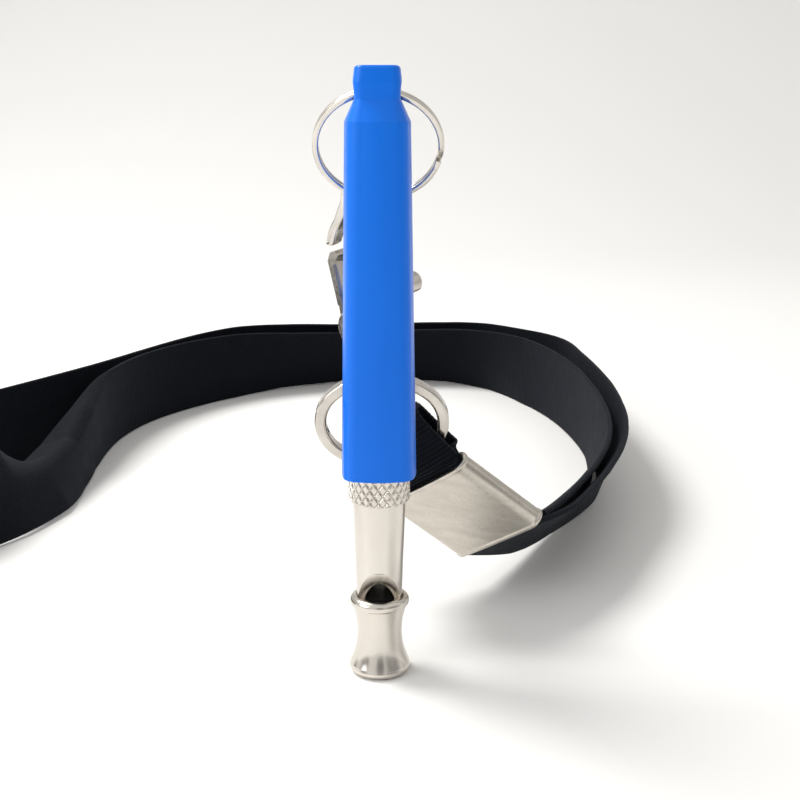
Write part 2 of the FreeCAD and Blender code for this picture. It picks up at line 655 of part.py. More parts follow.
# ---------------------------------------------------------------- strap
def flat_section(centre, across, facing, width, thick):
    """A rectangular wire round a place: its width lies along across and its thickness along facing."""
    a = across.normalize() * (width / 2)
    f = facing.normalize() * (thick / 2)
    corners = [centre - a - f, centre + a - f, centre + a + f, centre - a + f]
    return Part.makePolygon(corners + corners[:1])


def rounded_route(points):
    """Straight runs and tangent arcs through a route: a list of (place, heading), and the radii."""
    stations, radii = [(points[0], (points[1] - points[0]).normalize())], []
    for before, here, after in zip(points, points[1:], points[2:]):
        arriving, leaving = here - before, after - here
        turn = arriving.getAngle(leaving)
        short = min(arriving.Length, leaving.Length)
        radius = 0.45 * short / math.tan(turn / 2)
        radii.append(radius)
        reach = radius * math.tan(turn / 2)
        start = here - arriving.normalize() * reach
        axis = arriving.cross(leaving).normalize()
        centre = start + axis.cross(arriving) * radius
        steps = max(2, int(math.degrees(turn) / 9) + 1)
        for step in range(steps + 1):
            turned = FreeCAD.Rotation(axis, math.degrees(turn) * step / steps)
            place = centre + turned.multVec(start - centre)
            stations.append((place, turned.multVec(arriving)))
    stations.append((points[-1], (points[-1] - points[-2]).normalize()))
    return stations, radii


def strand(label, route, width, thick):
    """One stretch of strap. A route point is (x, y, z, lean_x, lean_y, lean_z): place and edge direction."""
    points = [Vector(*item[:3]) for item in route]
    leans = [Vector(*item[3:6]).normalize() for item in route]
    stations, radii = rounded_route(points)
    lengths = [0.0]
    for first, second in zip(points, points[1:]):
        lengths.append(lengths[-1] + (second - first).Length)
    placed = []
    for place, heading in stations:
        best = min(range(len(points) - 1), key=lambda i: run_distance(place, points[i], points[i + 1])[0])
        part = run_distance(place, points[best], points[best + 1])[1]
        lean = leans[best] * (1 - part) + leans[best + 1] * part
        across = (lean - heading * lean.dot(heading)).normalize()
        placed.append((place, across, heading.cross(across)))
    shape = Part.makeLoft([flat_section(*station, width, thick) for station in placed], True, True)
    length = sum((b[0] - a[0]).Length for a, b in zip(placed, placed[1:]))
    print("%s: length %.1f, radii %s, volume ratio %.3f" % (
        label, length, " ".join("%.1f" % radius for radius in radii), shape.Volume / (length * width * thick)))
    item = doc.addObject("Part::Feature", label)
    item.Label = label
    item.Shape = shape
    item.Placement = FreeCAD.Placement()
    return item


def run_distance(place, start, end):
    """How far a place is from a run, and how far along the run it lies, from 0 to 1."""
    run = end - start
    part = max(0.0, min(1.0, (place - start).dot(run) / run.dot(run)))
    return (place - start - run * part).Length, part


def exit_point(side):
    """Where a strand leaves the ferrule: side is -1 for the inner strand and 1 for the outer one."""
    place = FERRULE_CENTRE + ALONG * (size("ferrule_length") / 2) + FACING * (side * size("strand_gap") / 2)
    return (place.x, place.y, place.z, ACROSS.x, ACROSS.y, ACROSS.z)


UP = (0, 0, 1)
INNER_ROUTE = [
    (23.4, 30.5, 10.6, 10.6, -10.2, 11.7), (28.3, 39.5, 9.8, 10.2, -8.9, 13.8),
    (33.0, 49.5, 9.1, 10.2, -6.6, 14.9), (38.2, 60.5, 9.0, 8.4, -4.0, 15.8), (42.6, 73.3, 9.0, 5, -2, 17),
    (45.1, 88.5, 9.1, 2, 0, 18), (46.0, 105, 9.1) + UP, (45.0, 122, 9.1) + UP, (42.0, 140, 9.1) + UP,
    (36.5, 156.5, 9.1) + UP, (27.5, 171, 8.95, -2, -4, 17), (15.5, 178.8, 8.7, -1, -7, 16.5),
    (1.0, 180, 8.35, 0, -8.5, 16), (-14.5, 177.2, 8.35, 2, -8.5, 16), (-29.0, 171.5, 8.7, 3, -6, 17),
    (-42.5, 163, 9.1, 0, -2, 18), (-53.5, 151.0, 9.1) + UP,
    (-61.0, 138, 9.1) + UP, (-65.0, 124, 9.1) + UP, (-65.8, 110, 9.1) + UP, (-65.0, 96, 9.1) + UP,
    (-65.2, 82, 9.1, -3, 1, 17.5), (-67.0, 68.5, 8.6, -8, 3, 16), (-70.5, 55.5, 8.8, -6, 4, 16.5),
    (-76.0, 43.5, 9.1, -2, 2, 17.8), (-84.5, 34, 9.1) + UP,
]
OUTER_ROUTE = [
    (25.1, 29.6, 9.9, 10.6, -10.2, 11.7), (30.3, 38.6, 9.1, 10.2, -8.9, 13.8),
    (35.2, 48.6, 8.6, 10.2, -6.6, 14.9), (40.7, 59.6, 8.8, 8.6, -4.0, 15.7), (45.4, 72.6, 9.0, 5.8, -2.5, 16.8),
    (48.0, 88.0, 9.1, 4, -1, 17.5), (48.9, 105, 9.1, 3.5, 0, 17.7), (48.9, 122, 9.1, 2, 0, 18),
    (48.6, 138.5, 9.1) + UP, (47.4, 153, 9.1) + UP, (43.2, 162.5, 9.1) + UP, (36.0, 170.5, 9.1) + UP,
    (28.0, 178.4, 9.1) + UP, (16.5, 184.2, 9.0, -1, -4, 17.5), (1.0, 185.3, 8.85, 0, -6, 17),
    (-16.5, 183.6, 8.85, 1, -6, 17), (-32.0, 179.5, 9.05, 2, -3, 17.7), (-43.0, 173.5, 9.1) + UP,
    (-50.5, 164.5, 9.1) + UP, (-56.8, 153.5, 9.1) + UP, (-63.2, 140, 9.1) + UP, (-69.2, 126.5, 9.1) + UP,
    (-76.5, 113.0, 9.1) + UP, (-85.0, 98.0, 9.1) + UP,
]
LOOP_END_ROUTE = [
    (-84.5, 34, 9.1) + UP, (-94.5, 27, 9.1) + UP, (-108, 23.5, 9.1) + UP, (-122, 26.5, 9.1) + UP,
    (-133, 36.5, 9.1) + UP, (-137, 50, 9.1) + UP, (-132.5, 63, 9.1) + UP, (-121, 71, 9.1) + UP,
    (-106, 75.5, 9.1) + UP, (-94, 83.5, 9.1) + UP, (-85.0, 98.0, 9.1) + UP,
]
# where the eye loop's fold passes the eye's bar: ahead of it, past it, the way it faces (ahead, past), its width
FOLD = [
    (2.2, -3.6, 1, 0, 15.5), (2.2, 0.0, 1, 0, 13.5), (2.1, 3.4, 1, 0.1, 12.5), (1.5, 4.9, 1, 1, 12.2),
    (0.0, 5.5, 0, 1, 12.0), (-1.5, 4.9, -1, 1, 12.2), (-2.1, 3.4, -1, 0.1, 12.5), (-2.2, 0.0, -1, 0, 13.5),
    (-2.2, -3.6, -1, 0, 15.5),
]


def eye_bar():
    """The part of the eye's band that the webbing goes round: its middle, its chord and the way past it."""
    frame = snap_placement(0)
    swivel = snap_placement(size("snap_yaw")).multVec(Vector(size("swivel_x"), 0, 0))
    turn = frame.Rotation
    half_width = size("eye_half_width") - size("eye_band") / 2
    half_height = size("eye_half_height") - size("eye_band") / 2
    ends = [Vector(half_width * math.cos(math.radians(angle)), 0,
                   size("eye_z") + half_height * math.sin(math.radians(angle))) for angle in (-12, -85)]
    high, low = [swivel + turn.multVec(end) for end in ends]
    chord = (high - low).normalize()
    normal = turn.multVec(Vector(0, -1, 0))
    past = chord.cross(normal)
    if past.z < 0:
        past = past * -1
    return (high + low) * 0.5, chord, past, normal


def make_eye_loop():
    """The webbing between ferrule and eye: one layer before and one behind the eye's bar, joined in a loose fold."""
    width, thick = size("strap_width"), size("strap_thick")
    bar, chord, past, front = eye_bar()
    head = FERRULE_CENTRE - ALONG * (size("ferrule_length") / 2)
    tail = FERRULE_CENTRE + ALONG * (size("ferrule_length") / 2)
    layer = FACING * (thick / 2 + 0.02)
    turns = [(tail + layer, ACROSS, FACING, width), (head + layer, ACROSS, FACING, width)]
    for ahead, beyond, facing_ahead, facing_past, wide in FOLD:
        turns.append((bar + front * ahead + past * beyond, chord, front * facing_ahead + past * facing_past, wide))
    turns += [(head - layer, ACROSS, FACING * -1, width), (tail - layer, ACROSS, FACING * -1, width)]
    fold = Part.makeLoft([flat_section(*turn, thick) for turn in turns], True, True)
    item = doc.addObject("Part::Feature", "strap_eye_loop")
    item.Label = "strap_eye_loop"
    item.Shape = fold
    item.Placement = FreeCAD.Placement()
    return item


# ---------------------------------------------------------------- assembly
def make_all():
    width, thick = size("strap_width"), size("strap_thick")
    near_inner = [exit_point(-1)] + INNER_ROUTE[:7]
    near_outer = [exit_point(1)] + OUTER_ROUTE[:7]
    return [
        make_mouthpiece(), make_tube(), make_collar(), make_plug(), make_piston(), make_screw(), make_knob(),
        make_nut(), make_cover(), make_split_ring(), make_snap_body(), make_gate(), make_gate_pin(),
        make_gate_spring(), make_eye(), make_rivet(), make_ferrule(), make_eye_loop(),
        strand("strap_near_inner", near_inner, width, thick), strand("strap_near_outer", near_outer, width, thick),
        strand("strap_back_inner", INNER_ROUTE[6:19], width, thick),
        strand("strap_back_outer", OUTER_ROUTE[6:], width, thick),
        strand("strap_front", INNER_ROUTE[18:], width, thick), strand("strap_loop_end", LOOP_END_ROUTE, width, thick),
    ]


pieces = make_all()
doc.recompute()
for item in doc.Objects:
    if "Invalid" in item.State or "Error" in item.State:
        raise RuntimeError("%s failed to build: %s" % (item.Label, item.State))
os.makedirs("parts", exist_ok=True)
for piece in pieces:
    if piece.Shape.isNull() or not piece.Shape.isValid():
        raise RuntimeError("%s has no valid shape" % piece.Label)
    box = piece.Shape.BoundBox
    print("%s: %d solid, %.1f mm3, x %.1f..%.1f y %.1f..%.1f z %.1f..%.1f" % (
        piece.Label, len(piece.Shape.Solids), piece.Shape.Volume,
        box.XMin, box.XMax, box.YMin, box.YMax, box.ZMin, box.ZMax))
    piece.Shape.exportStep("parts/%s.step" % piece.Label)
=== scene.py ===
import json
import math

import bpy
import numpy as np
from mathutils import Matrix, Vector


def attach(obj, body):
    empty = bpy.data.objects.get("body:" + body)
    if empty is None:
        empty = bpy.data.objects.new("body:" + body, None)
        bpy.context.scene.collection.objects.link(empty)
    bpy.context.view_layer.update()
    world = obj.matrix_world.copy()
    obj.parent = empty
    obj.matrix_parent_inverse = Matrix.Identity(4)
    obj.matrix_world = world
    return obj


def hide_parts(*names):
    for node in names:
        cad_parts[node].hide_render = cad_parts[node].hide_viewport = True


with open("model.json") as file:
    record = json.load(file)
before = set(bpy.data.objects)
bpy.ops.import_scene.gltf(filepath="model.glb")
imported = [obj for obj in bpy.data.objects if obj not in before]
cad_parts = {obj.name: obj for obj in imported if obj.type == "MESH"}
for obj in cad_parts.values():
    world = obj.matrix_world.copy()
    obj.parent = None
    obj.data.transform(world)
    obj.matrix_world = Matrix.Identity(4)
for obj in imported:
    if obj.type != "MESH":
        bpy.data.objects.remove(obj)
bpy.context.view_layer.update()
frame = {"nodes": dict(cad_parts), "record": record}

# Looks of the adjustable training whistle: everything is in metres, in the frame of the CAD part.
MM = 0.001


# ---------------------------------------------------------------- material helpers
def new_material(name, **settings):
    """A Principled material. Settings are the shader's own sockets, with _ for a space."""
    material = bpy.data.materials.new(name)
    material.use_nodes = True
    shader = material.node_tree.nodes["Principled BSDF"]
    for key, value in settings.items():
        shader.inputs[key.replace("_", " ")].default_value = value
    return material, material.node_tree, shader


def add(tree, kind, values=(), **settings):
    """Adds a node. Values are (socket, value or output) pairs and settings are its properties."""
    node = tree.nodes.new("ShaderNode" + kind)
    for key, value in settings.items():
        setattr(node, key, value)
    for socket, value in values:
        if isinstance(value, bpy.types.NodeSocket):
            tree.links.new(value, node.inputs[socket])
        else:
            node.inputs[socket].default_value = value
    return node


def noise(tree, vector, scale, detail=3.0, roughness=0.5):
    return add(tree, "TexNoise", [("Vector", vector), ("Scale", scale), ("Detail", detail),
                                  ("Roughness", roughness)]).outputs["Fac"]


def remap(tree, value, low, high, from_low=0.3, from_high=0.7):
    return add(tree, "MapRange", [("Value", value), ("From Min", from_low), ("From Max", from_high),
                                  ("To Min", low), ("To Max", high)]).outputs["Result"]


def mix_colour(tree, share, first, second):
    node = add(tree, "Mix", data_type="RGBA")
    for index, value in ((0, share), (6, first), (7, second)):
        if isinstance(value, bpy.types.NodeSocket):
            tree.links.new(value, node.inputs[index])
        else:
            node.inputs[index].default_value = value
    return node.outputs[2]


def stretched(tree, source, scale):
    """Object or UV coordinates stretched by a scale for each axis."""
    coordinates = add(tree, "TexCoord").outputs[source]
    return add(tree, "Mapping", [("Vector", coordinates), ("Scale", scale)]).outputs["Vector"]


def bump(tree, shader, height, strength, distance):
    node = add(tree, "Bump", [("Height", height), ("Strength", strength), ("Distance", distance)])
    tree.links.new(node.outputs["Normal"], shader.inputs["Normal"])


# ---------------------------------------------------------------- materials
def metal(name, colour, shade, low, high, grain, dent):
    """Plated metal: the colour clouds a little towards shade, and the polish varies from low to high."""
    material, tree, shader = new_material(name, Metallic=1.0)
    place = stretched(tree, "Object", grain)
    clouds = noise(tree, place, 260.0, 4.0)
    fine = noise(tree, place, 2200.0, 5.0, 0.6)
    tree.links.new(mix_colour(tree, remap(tree, clouds, 0.0, 1.0), (*colour, 1), (*shade, 1)),
                   shader.inputs["Base Color"])
    tree.links.new(remap(tree, fine, low, high), shader.inputs["Roughness"])
    bump(tree, shader, fine, dent, 0.00003)
    return material


def plastic(name, colour, shade, low, high, coat):
    """Moulded plastic: a soft gloss that varies from low to high over a fine moulded grain."""
    material, tree, shader = new_material(name, Coat_Weight=coat, Coat_Roughness=0.15,
                                          Specular_IOR_Level=0.22)
    place = stretched(tree, "Object", (1, 1, 0.35))
    clouds = noise(tree, place, 90.0, 3.0)
    fine = noise(tree, place, 1900.0, 4.0, 0.6)
    tree.links.new(mix_colour(tree, remap(tree, clouds, 0.0, 1.0), (*colour, 1), (*shade, 1)),
                   shader.inputs["Base Color"])
    tree.links.new(remap(tree, fine, low, high), shader.inputs["Roughness"])
    bump(tree, shader, fine, 0.12, 0.00004)
    return material


def navy_webbing():
    """Woven tape: U runs along it and V across it, both in metres."""
    material, tree, shader = new_material("navy_webbing", Sheen_Weight=0.06, Sheen_Roughness=0.5,
                                          Specular_IOR_Level=0.10)
    shader.inputs["Sheen Tint"].default_value = (0.5, 0.56, 0.68, 1)
    along = stretched(tree, "UV", (1, 0.05, 1))
    across = stretched(tree, "UV", (0.05, 1, 1))
    ribs = add(tree, "TexWave", [("Vector", along), ("Scale", 470.0), ("Distortion", 0.8), ("Detail", 1.0)],
               bands_direction="X").outputs["Fac"]
    ends = add(tree, "TexWave", [("Vector", across), ("Scale", 620.0), ("Distortion", 1.2), ("Detail", 1.0)],
               bands_direction="Y").outputs["Fac"]
    weave = add(tree, "Math", [(0, ribs), (1, ends)], operation="MULTIPLY").outputs[0]
    lint = noise(tree, stretched(tree, "UV", (1, 1, 1)), 160.0, 6.0, 0.7)
    dark = mix_colour(tree, weave, (0.0024, 0.0032, 0.0056, 1), (0.0046, 0.0060, 0.0098, 1))
    tree.links.new(mix_colour(tree, remap(tree, lint, 0.0, 0.4, 0.5, 0.8), dark, (0.009, 0.011, 0.0155, 1)),
                   shader.inputs["Base Color"])
    tree.links.new(remap(tree, lint, 0.75, 0.92), shader.inputs["Roughness"])
    bump(tree, shader, add(tree, "Math", [(0, ribs), (1, weave)], operation="ADD").outputs[0], 0.35, 0.0001)
    return material


MATERIALS = {
    "nickel_plate": metal("nickel_plate", colour=(0.72, 0.68, 0.625), shade=(0.64, 0.60, 0.545),
                          low=0.14, high=0.24, grain=(1, 1, 0.3), dent=0.10),
    "cast_nickel": metal("cast_nickel", colour=(0.66, 0.625, 0.58), shade=(0.52, 0.485, 0.445),
                         low=0.14, high=0.24, grain=(1, 1, 1), dent=0.08),
    "spring_steel": metal("spring_steel", colour=(0.55, 0.55, 0.55), shade=(0.45, 0.45, 0.46),
                          low=0.25, high=0.35, grain=(1, 1, 1), dent=0.1),
    "ferrule_sheet": metal("ferrule_sheet", colour=(0.62, 0.58, 0.52), shade=(0.52, 0.485, 0.43),
                           low=0.25, high=0.36, grain=(0.5, 2, 2), dent=0.35),
    "blue_shell": plastic("blue_shell", colour=(0.0, 0.150, 0.76), shade=(0.001, 0.166, 0.80),
                          low=0.28, high=0.40, coat=0.08),
    "black_core": plastic("black_core", colour=(0.012, 0.012, 0.014), shade=(0.02, 0.02, 0.022),
                          low=0.35, high=0.5, coat=0.1),
    "navy_webbing": navy_webbing(),
}


# ---------------------------------------------------------------- mesh helpers
def put_on(item, body, slot, *replaced):
    """Gives a piece the material of its slot and puts it on its body, and hides the CAD nodes that it stands
    for.
    """
    item.data.materials.clear()
    item.data.materials.append(MATERIALS[slot])
    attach(item, body)
    if replaced:
        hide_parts(*replaced)
    return item


def new_piece(name, vertices, faces, uv=None, sharp=35.0):
    """A mesh piece with smooth shading and hard edges where faces meet at more than sharp degrees."""
    mesh = bpy.data.meshes.new(name)
    mesh.from_pydata([tuple(v) for v in vertices], [], [tuple(f) for f in faces])
    mesh.validate()
    mesh.shade_smooth()
    mesh.set_sharp_from_angle(angle=math.radians(sharp))
    if uv is not None:
        layer = mesh.uv_layers.new(name="UVMap")
        corners = np.zeros(len(mesh.loops), dtype=np.int64)
        mesh.loops.foreach_get("vertex_index", corners)
        layer.data.foreach_set("uv", np.asarray(uv, dtype=np.float32)[corners].ravel())
    item = bpy.data.objects.new(name, mesh)
    bpy.context.scene.collection.objects.link(item)
    return item


def tube_faces(rings, around, closed_path=False, caps=True):
    """Faces between rings of a sweep, each ring with the same number of points."""
    faces = []
    for ring in range(rings if closed_path else rings - 1):
        ahead = (ring + 1) % rings
        for step in range(around):
            beside = (step + 1) % around
            faces.append((ring * around + step, ring * around + beside,
                          ahead * around + beside, ahead * around + step))
    if caps and not closed_path:
        faces.append(tuple(reversed(range(around))))
        faces.append(tuple((rings - 1) * around + step for step in range(around)))
    return faces


def saw(value):
    """A triangle wave that is 0 at whole numbers and 1 half way between them."""
    return 1 - abs(2 * (value - math.floor(value)) - 1)


# ---------------------------------------------------------------- strap
TAPE_WIDTH, TAPE_THICK = 18.0 * MM, 1.0 * MM
FERRULE_CENTRE = Vector((12.7, 22.0, 17.0)) * MM
ALONG = Vector((0.740, 0.234, -0.631)).normalized()
ACROSS = Vector((0.627, -0.581, 0.519))
ACROSS = (ACROSS - ALONG * ACROSS.dot(ALONG)).normalized()
FACING = ALONG.cross(ACROSS)
FERRULE_LENGTH, FERRULE_WIDTH, FERRULE_HEIGHT, FERRULE_SHEET = 17.0 * MM, 19.4 * MM, 3.5 * MM, 0.6 * MM
STRAND_GAP = 1.25 * MM
RIB_PITCH = 0.75 * MM  # of the eye loop's weave
RIB_SWELL = 0.20  # of the tape's thickness
SNAP_PITCH = 13.0  # degrees that the snap and its eye lean
FOLD_OFFSET = 1.3 * MM  # from the middle of the eye's bar to the middle of the eye loop's fold

# A route point is a place, in millimetres, and the direction of the tape's upper edge there.
UP = (0, 0, 1)
INNER_ROUTE = [
    (23.4, 30.5, 10.6, 10.6, -10.2, 11.7), (28.3, 39.5, 9.8, 10.2, -8.9, 13.8),
    (33.0, 49.5, 9.1, 10.2, -6.6, 14.9), (38.2, 60.5, 9.0, 8.4, -4.0, 15.8), (42.6, 73.3, 9.0, 5, -2, 17),
    (45.1, 88.5, 9.1, 2, 0, 18), (46.0, 105, 9.1) + UP, (45.0, 122, 9.1) + UP, (42.0, 140, 9.1) + UP,
    (36.5, 156.5, 9.1) + UP, (27.5, 171, 8.95, -2, -4, 17), (15.5, 178.8, 8.7, -1, -7, 16.5),
    (1.0, 180, 8.35, 0, -8.5, 16), (-14.5, 177.2, 8.35, 2, -8.5, 16), (-29.0, 171.5, 8.7, 3, -6, 17),
    (-42.5, 163, 9.1, 0, -2, 18), (-53.5, 151.0, 9.1) + UP,
    (-61.0, 138, 9.1) + UP, (-65.0, 124, 9.1) + UP, (-65.8, 110, 9.1) + UP, (-65.0, 96, 9.1) + UP,
    (-65.2, 82, 9.1, -3, 1, 17.5), (-67.0, 68.5, 8.6, -8, 3, 16), (-70.5, 55.5, 8.8, -6, 4, 16.5),
    (-76.0, 43.5, 9.1, -2, 2, 17.8), (-84.5, 34, 9.1) + UP,
]
OUTER_ROUTE = [
    (25.1, 29.6, 9.9, 10.6, -10.2, 11.7), (30.3, 38.6, 9.1, 10.2, -8.9, 13.8),
    (35.2, 48.6, 8.6, 10.2, -6.6, 14.9), (40.7, 59.6, 8.8, 8.6, -4.0, 15.7),
    (45.4, 72.6, 9.0, 5.8, -2.5, 16.8), (48.0, 88.0, 9.1, 4, -1, 17.5),
    (48.9, 105, 9.1, 3.5, 0, 17.7), (48.9, 122, 9.1, 2, 0, 18),
    (48.6, 138.5, 9.1) + UP, (47.4, 153, 9.1) + UP, (43.2, 162.5, 9.1) + UP, (36.0, 170.5, 9.1) + UP,
    (28.0, 178.4, 9.1) + UP, (16.5, 184.2, 9.0, -1, -4, 17.5), (1.0, 185.3, 8.85, 0, -6, 17),
    (-16.5, 183.6, 8.85, 1, -6, 17), (-32.0, 179.5, 9.05, 2, -3, 17.7), (-43.0, 173.5, 9.1) + UP,
    (-50.5, 164.5, 9.1) + UP, (-56.8, 153.5, 9.1) + UP, (-63.2, 140, 9.1) + UP, (-69.2, 126.5, 9.1) + UP,
    (-76.5, 113.0, 9.1) + UP, (-85.0, 98.0, 9.1) + UP,
]
LOOP_END_ROUTE = [
    (-94, 83.5, 9.1) + UP, (-106, 75.5, 9.1) + UP, (-121, 71, 9.1) + UP, (-132.5, 63, 9.1) + UP,
    (-137, 50, 9.1) + UP, (-133, 36.5, 9.1) + UP, (-122, 26.5, 9.1) + UP, (-108, 23.5, 9.1) + UP,
    (-94.5, 27, 9.1) + UP, (-84.5, 34, 9.1) + UP,
]
# The eye loop's fold round the eye's bar, in millimetres. A row is a place (ahead of the bar, past it),
# the way the tape faces there (ahead, past) and the tape's width.
FOLD = [
    (2.2, -3.6, 1, 0, 13.4), (2.2, 0.0, 1, 0, 12.2), (2.1, 3.4, 1, 0.1, 11.4), (1.5, 4.9, 1, 1, 11.1),
    (0.0, 5.5, 0, 1, 11.0), (-1.5, 4.9, -1, 1, 11.1), (-2.1, 3.4, -1, 0.1, 11.4), (-2.2, 0.0, -1, 0, 12.2),
    (-2.2, -3.6, -1, 0, 13.4),
]
# The inner tape's upper part folds outward on the near left. A row is y, the height above the tape's
# middle where the fold starts, both in millimetres, and the fold's angle in degrees.
CURL = [
    (50, -2, 0), (58, -1, 8), (66, -1, 45), (74, -0.5, 90),
    (84, 0, 100), (96, 3.5, 105), (110, 6.5, 90), (124, 8.5, 40),
]
CURL_SIDE = -55 * MM  # the fold lies to the left of this x
FOLD_REACH = 2.8 * MM  # the width of tape that the bend takes up


def exit_point(side):
    """Where a strand leaves the ferrule: side is -1 for the inner strand and 1 for the outer one."""
    place = (FERRULE_CENTRE + ALONG * (FERRULE_LENGTH / 2) + FACING * (side * STRAND_GAP / 2)) / MM
    return (*place, *ACROSS)


def smooth_line(name, places):
    """Points along the NURBS spline that has the places as its control points."""
    curve = bpy.data.curves.new(name, "CURVE")
    curve.dimensions = "3D"
    curve.resolution_u = 14
    spline = curve.splines.new("NURBS")
    spline.points.add(len(places) - 1)
    for point, place in zip(spline.points, places):
        point.co = (*place, 1)
    spline.order_u = 3
    spline.use_endpoint_u = True
    item = bpy.data.objects.new(name, curve)
    bpy.context.scene.collection.objects.link(item)
    bpy.context.view_layer.update()
    mesh = bpy.data.meshes.new_from_object(item)
    points = [vertex.co.copy() for vertex in mesh.vertices]
    bpy.data.objects.remove(item)
    bpy.data.curves.remove(curve)
    bpy.data.meshes.remove(mesh)
    return points


def leaning(place, places, leans):
    """The direction of the tape's upper edge at a place near the route."""
    best, found = None, None
    for start, end, first, second in zip(places, places[1:], leans, leans[1:]):
        run = end - start
        share = max(0.0, min(1.0, (place - start).dot(run) / run.dot(run)))
        away = (place - start - run * share).length
        if best is None or away < best:
            best, found = away, first.lerp(second, share)
    return found


def tape_section():
    """Millimetre-thick tape whose edges are rounded like a selvedge: (across, out) pairs round it."""
    half, rise, steps, selvedge = TAPE_WIDTH / 2, TAPE_THICK / 2, 30, 0.7
    top = [(half * (1 - 2 * step / steps), rise) for step in range(1, steps)]
    edge = [(half - rise * selvedge * (1 - math.cos(turn)), rise * math.sin(turn))
            for turn in (math.radians(angle) for angle in (-75, -40, 0, 40, 75))]
    left = [(-across, -out) for across, out in edge]
    bottom = [(-across, -out) for across, out in top]
    return edge + top + left + bottom


def curled(side, start, angle):
    """Where a place across the tape goes when the tape folds outward past the start, and the turn there."""
    if angle < 1e-4 or side <= start:
        return side, 0.0, 0.0
    radius = FOLD_REACH / angle
    turn = angle * min(1.0, (side - start) / FOLD_REACH)
    over = max(0.0, side - start - FOLD_REACH)
    return (start + radius * math.sin(turn) + over * math.cos(turn),
            radius * (1 - math.cos(turn)) + over * math.sin(turn), turn)


def ribbon(name, stations, shares=None, curls=None, rib=None):
    """A tape through stations of (centre, across, facing). Its UV map is in metres along and across.

    For each station, shares give the part of the full width and curls the start and angle of an outward fold.
    """
    section = tape_section()
    vertices, uv, travelled = [], [], 0.0
    for index, (centre, across, facing) in enumerate(stations):
        if index:
            travelled += (centre - stations[index - 1][0]).length
        share = shares[index] if shares else 1.0
        swell = 1 + (RIB_SWELL * math.cos(2 * math.pi * travelled / rib) if rib else 0)
        for side, out in section:
            up, away, turn = curled(side * share, *(curls[index] if curls else (0.0, 0.0)))
            out *= swell
            vertices.append(centre + across * (up - out * math.sin(turn))
                            + facing * (away + out * math.cos(turn)))
            uv.append((travelled, side * share))
    return new_piece(name, vertices, tube_faces(len(stations), len(section)), uv)


def curl_at(place):
    """The start and the angle of the tape's outward fold."""
    if place.x > CURL_SIDE:
        return 0.0, 0.0
    along, starts, angles = zip(*CURL)
    start = float(np.interp(place.y / MM, along, starts)) * MM
    return start, math.radians(float(np.interp(place.y / MM, along, angles)))


def strand(name, route, curling=False):
    """The tape of a route, and the points of its centre line."""
    places = [Vector(item[:3]) * MM for item in route]
    leans = [Vector(item[3:6]).normalized() for item in route]
    line = smooth_line(name + "_line", places)
    stations = []
    for index, place in enumerate(line):
        heading = (line[min(index + 1, len(line) - 1)] - line[max(index - 1, 0)]).normalized()
        lean = leaning(place, places, leans)
        across = (lean - heading * lean.dot(heading)).normalized()
        stations.append((place, across, heading.cross(across)))
    curls = [curl_at(place) for place in line] if curling else None
    return ribbon(name, stations, curls=curls), line


def neck_loop():
    """The two strands that leave the ferrule and meet in the loop end."""
    inner, inner_line = strand("tape_inner", [exit_point(-1)] + INNER_ROUTE, curling=True)
    put_on(inner, "strap", "navy_webbing", "strap_near_inner", "strap_back_inner", "strap_front")
    outer, outer_line = strand("tape_outer", [exit_point(1)] + OUTER_ROUTE + LOOP_END_ROUTE)
    put_on(outer, "strap", "navy_webbing", "strap_near_outer", "strap_back_outer", "strap_loop_end")


def joint_named(name):
    return next(row for row in frame["record"]["behaviour"]["joints"] if row["name"] == name)


def spread(stations, spacing):
    """Smooth stations of (centre, across, facing, width) at an even spacing, by a Catmull-Rom curve."""
    rows = [np.array([*centre, *across, *facing, width]) for centre, across, facing, width in stations]
    rows = [2 * rows[0] - rows[1]] + rows + [2 * rows[-1] - rows[-2]]
    result = []
    for before, first, second, after in zip(rows, rows[1:], rows[2:], rows[3:]):
        steps = max(1, round(float(np.linalg.norm(second[:3] - first[:3])) / spacing))
        for step in range(steps):
            t = step / steps
            result.append(0.5 * (2 * first + (second - before) * t
                                 + (2 * before - 5 * first + 4 * second - after) * t ** 2
                                 + (3 * first - before - 3 * second + after) * t ** 3))
    result.append(rows[-2])
    return result


def eye_loop():
    """The webbing from the ferrule round the eye's bar and back, with its ribs."""
    swing = joint_named("strap_swing")
    chord = Vector(swing["axis"]).normalized()
    bar = Vector(swing["pos_m"]) - chord * FOLD_OFFSET
    pitch = math.radians(SNAP_PITCH)
    front = Vector((0, -math.cos(pitch), -math.sin(pitch)))
    past = chord.cross(front)
    if past.z < 0:
        past = -past
    head = FERRULE_CENTRE - ALONG * (FERRULE_LENGTH / 2)
    tail = FERRULE_CENTRE + ALONG * (FERRULE_LENGTH / 2 - 0.5 * MM)
    layer = FACING * (TAPE_THICK / 2 + 0.02 * MM)  # the two layers lie against each other in the ferrule
    stations = [(tail + layer, ACROSS, FACING, TAPE_WIDTH), (head + layer, ACROSS, FACING, TAPE_WIDTH)]
    for ahead, beyond, facing_ahead, facing_past, wide in FOLD:
        stations.append((bar + front * (ahead * MM) + past * (beyond * MM), chord,
                         (front * facing_ahead + past * facing_past).normalized(), wide * MM))
    stations += [(head - layer, ACROSS, -FACING, TAPE_WIDTH), (tail - layer, ACROSS, -FACING, TAPE_WIDTH)]
    rows = spread(stations, 0.15 * MM)
    placed = [(Vector(row[:3]), Vector(row[3:6]).normalized(), Vector(row[6:9]).normalized()) for row in rows]
    loop = ribbon("eye_loop", placed, shares=[float(row[9]) / TAPE_WIDTH for row in rows], rib=RIB_PITCH)
    put_on(loop, "strap", "navy_webbing", "strap_eye_loop")


